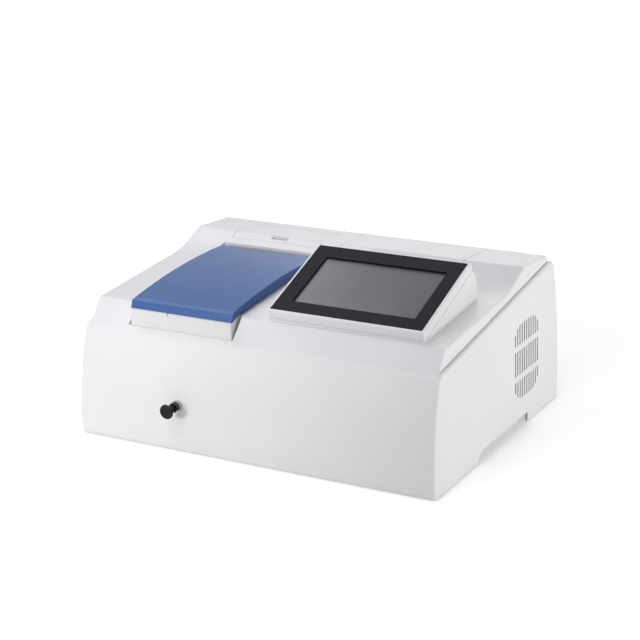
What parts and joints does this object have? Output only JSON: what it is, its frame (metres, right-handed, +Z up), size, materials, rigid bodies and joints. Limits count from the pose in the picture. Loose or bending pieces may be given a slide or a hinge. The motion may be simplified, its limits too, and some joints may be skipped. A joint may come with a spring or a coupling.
{
  "type": "visible spectrophotometer",
  "caption": "Bench-top visible spectrophotometer: wide white wedge-shaped case, blue arched compartment lid, tilted touch display, pull rod for the cell holder, side vents.",
  "frame": {"origin": "middle of the instrument's footprint, on the table under the rubber feet", "axes": "+X to the right seen from the front, +Y from the front face to the back, +Z up"},
  "size_m": [0.47, 0.3866, 0.221],
  "materials": {
    "housing_white": "fine satin texture",
    "cover_white": "fine satin texture",
    "lid_blue": "smooth semi-gloss",
    "seal_foam": "soft foam",
    "box_white": "satin",
    "black_plastic": "fine grain",
    "bezel_black": "semi-gloss film",
    "screen_glass": "dark anti-glare glass",
    "board_green": "solder resist",
    "steel": "ground",
    "sheet_steel": "zinc plated",
    "cast_aluminium": "as cast",
    "black_aluminium": "black anodised",
    "mirror_coat": "front-surface mirror",
    "glass_clear": "clear",
    "filter_colour": "coloured glass",
    "brass": "turned",
    "rubber_black": "matt",
    "ceramic": "unglazed ceramic"
  },
  "bodies": {
    "instrument": {"base_plate": "sheet_steel", "rubber_feet": "rubber_black", "foot_screws": "steel", "lower_housing": "housing_white", "upper_cover": "cover_white", "cover_screws": "steel", "rear_top_panel": "cover_white", "compartment_box": "box_white", "lid_hinge_pins": "steel", "carriage_rails": "steel", "rod_bush": "steel", "pod_rear_shell": "cover_white", "pod_front_frame": "cover_white", "screen_bezel": "bezel_black", "display_panel": "screen_glass", "display_board": "board_green", "rear_panel": "sheet_steel", "power_inlet": "black_plastic", "inlet_screws": "steel", "switch_frame": "black_plastic", "data_ports": "steel", "mono_housing": "cast_aluminium", "mono_cover": "black_aluminium", "slit_plates": "steel", "mono_mirrors": "mirror_coat", "mirror_mounts": "black_aluminium", "nut_guide": "steel", "scan_motor": "black_plastic", "lamp_house": "sheet_steel", "lamp_socket": "ceramic", "halogen_lamp": "glass_clear", "condenser": "glass_clear", "wheel_motor": "steel", "detector_housing": "black_aluminium", "detector_board": "board_green", "main_board": "board_green", "power_supply": "sheet_steel", "fan_frame": "black_plastic"},
    "lid": {"lid": "lid_blue", "lid_seal": "seal_foam"},
    "carriage": {"cell_carriage": "black_aluminium", "pull_rod": "steel", "pull_knob": "black_plastic"},
    "hatch": {"lamp_hatch": "cover_white"},
    "rocker": {"switch_rocker": "black_plastic"},
    "fan": {"fan_rotor": "black_plastic"},
    "filters": {"filter_wheel": "black_aluminium", "filter_glasses": "filter_colour"},
    "screw": {"scan_screw": "steel"},
    "nut": {"scan_nut": "brass"},
    "grating_arm": {"grating_table": "cast_aluminium", "grating": "mirror_coat"}
  },
  "joints": [
    {"name": "lid_hinge", "type": "hinge", "parent": "instrument", "child": "lid", "pos_m": [-0.10267, 0.06145, 0.178], "axis": [-1, 0, 0], "range_deg": [0, 80]},
    {"name": "carriage_pull", "type": "slide", "parent": "instrument", "child": "carriage", "axis": [0, -1, 0], "range_m": [0, 0.045]},
    {"name": "hatch_hinge", "type": "hinge", "parent": "instrument", "child": "hatch", "pos_m": [-0.10652, 0.1418, 0.19009], "axis": [-1, 0, 0], "range_deg": [0, 75]},
    {"name": "rocker_tip", "type": "hinge", "parent": "instrument", "child": "rocker", "pos_m": [0.14, 0.18145, 0.066], "axis": [1, 0, 0], "range_deg": [0, 12]},
    {"name": "fan_spin", "type": "hinge", "parent": "instrument", "child": "fan", "pos_m": [0.215, 0.09015, 0.0845], "axis": [1, 0, 0], "continuous": true},
    {"name": "filter_turn", "type": "hinge", "parent": "instrument", "child": "filters", "pos_m": [-0.084, 0.10245, 0.086], "axis": [1, 0, 0], "continuous": true},
    {"name": "screw_turn", "type": "hinge", "parent": "instrument", "child": "screw", "pos_m": [0.096, 0.04045, 0.035], "axis": [0, 1, 0], "range_deg": [0, 1800]},
    {"name": "nut_travel", "type": "slide", "parent": "instrument", "child": "nut", "axis": [0, 1, 0], "range_m": [0, 0.02]},
    {"name": "grating_turn", "type": "hinge", "parent": "instrument", "child": "grating_arm", "pos_m": [0.016, 0.04045, 0.018], "axis": [0, 0, 1], "range_deg": [0, 14.4]}
  ],
  "couplings": [
    {"joint": "nut_travel", "follows": "screw_turn", "m_per_rad": 0.00063661},
    {"joint": "grating_turn", "follows": "screw_turn", "ratio": 0.0079577}
  ]
}
